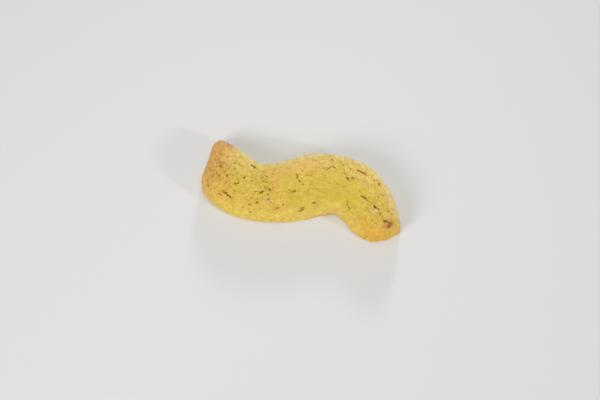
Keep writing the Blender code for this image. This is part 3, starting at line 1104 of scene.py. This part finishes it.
def dough_material(mottle, specks, grain):
    """Dry baked nut dough: mottled yellow, greener where it baked least, toasted at the ends."""
    material, nodes, shader = new_material("baked_dough", DOUGH_ROUGHNESS)
    lively = nodes.times(nodes.attribute("lively"), LIVELIEST)
    fine, finest = (
        use(nodes, grain, Size=size, Depth=nodes.times(lively, depth))
        for size, depth in (FINE_GRAIN, FINEST_GRAIN)
    )
    colour = baked_colour(nodes, mottle, lively, fine["Tint"])
    colour = speckled(nodes, specks, colour, lively, fine, finest)
    colour = browned_and_shaded(nodes, colour, lively, fine, finest)

    links = material.node_tree.links
    links.new(colour, shader.inputs["Base Color"])
    normal = nodes.add("ShaderNodeVectorMath", {0: fine["Normal"], 1: finest["Normal"]}, operation="ADD")
    even = nodes.add("ShaderNodeVectorMath", {0: normal.outputs[0]}, operation="NORMALIZE")
    links.new(even.outputs[0], shader.inputs["Normal"])
    return material


def nut_material(name, skin, flesh, mottle, grain):
    """Chopped nut: skin on one side and cut flesh on the other, over a fine grain with painted shade in its
    seams, dusted with dough.
    """
    material, nodes, shader = new_material(name, NUT_ROUGHNESS)
    patchy = use(nodes, mottle, **NUT_PATCHY)["Mask"]
    size, depth = NUT_GRAIN
    fine = use(nodes, grain, Size=size, Depth=depth)
    uneven = nodes.plus(nodes.attribute("nut_skin"), nodes.ramp(patchy, 0.0, 1.0, *NUT_RAGGED))
    colour = nodes.mix(nodes.ramp(uneven, *NUT_EDGE), tone(flesh), tone(skin))
    nut_seam_shade = nodes.times(nodes.math("SUBTRACT", 1.0, fine["Mask"]), NUT_SEAM_SHADE)
    colour = nodes.mix(nut_seam_shade, colour, tone(HOLLOW_SHADE_AND_SCORCH_TONE))
    dusted = use(nodes, mottle, **NUT_DUSTY)["Mask"]
    colour = nodes.mix(nodes.times(dusted, NUT_DUST), colour, tone(GOLDEN))
    links = material.node_tree.links
    links.new(colour, shader.inputs["Base Color"])
    links.new(fine["Normal"], shader.inputs["Normal"])
    return material


# ======================================== view, floor and light

def direction(around, height):
    """The direction this many degrees round from +X, and this many above the floor."""
    turn = math.radians(around)
    rise = math.radians(height)
    return Vector((math.cos(turn) * math.cos(rise), math.sin(turn) * math.cos(rise), math.sin(rise)))


def make_camera():
    """The camera, looking down on the cookie from its front."""
    low, high = (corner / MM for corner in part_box("cookie"))
    middle = (low + high) / 2
    back = direction(VIEW_TURN - 90.0, VIEW_HEIGHT)
    camera = link("camera", bpy.data.cameras.new("camera"))
    camera.data.lens = LENS
    camera.data.sensor_width = SENSOR
    camera.data.clip_start = NEAREST_SEEN * MM
    camera.location = (middle + Vector(VIEW_SHIFT) + back * VIEW_DISTANCE) * MM
    camera.rotation_euler = back.to_track_quat("Z", "Y").to_euler()
    bpy.context.scene.camera = camera


def make_floor():
    """A plain pale sheet under the cookie."""
    mesh = bpy.data.meshes.new("floor")
    half = FLOOR_SIZE / 2 * MM
    corners = [(-half, -half, 0), (half, -half, 0), (half, half, 0), (-half, half, 0)]
    mesh.from_pydata(corners, [], [(0, 1, 2, 3)])
    material, _, shader = new_material("pale_paper", PAPER_ROUGHNESS)
    shader.inputs["Base Color"].default_value = tone(FLOOR_TONE)
    mesh.materials.append(material)
    floor = link("floor", mesh)


def make_light():
    """A pale sky all round and the soft lamps."""
    world = bpy.data.worlds.new("pale_sky")
    world.use_nodes = True
    sky = world.node_tree.nodes["Background"]
    sky.inputs["Color"].default_value = tone(SKY_TONE)
    sky.inputs["Strength"].default_value = SKY_STRENGTH
    bpy.context.scene.world = world
    for name, (around, height, distance, size, power, tint) in LAMPS.items():
        lamp = bpy.data.lights.new(name, "AREA")
        lamp.shape = "DISK"
        lamp.size = size * MM
        lamp.energy = power
        lamp.color = tint
        aim = direction(around, height)
        stand = link(name, lamp)
        stand.location = aim * distance * MM
        stand.rotation_euler = aim.to_track_quat("Z", "Y").to_euler()
        stand.visible_camera = False
    bpy.context.scene.view_settings.view_transform = "Standard"


# ======================================== the whole cookie

def build():
    """The dough, the nut bits in it, and the stage it stands on."""
    mottle = mottle_group()
    specks = speck_group()
    grain = grain_group()
    dough, find = make_dough()
    dough.data.materials.append(dough_material(mottle, specks, grain))
    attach(dough, "root")
    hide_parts("cookie")
    for number, (name, large, fine, _, skin, flesh) in enumerate(NUT_KINDS):
        bits = make_bits(name, find, random.Random(SEED + 1 + number), large, fine)
        bits.data.materials.append(nut_material(name, skin, flesh, mottle, grain))
        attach(bits, "root")
    make_floor()
    make_light()
    make_camera()


build()
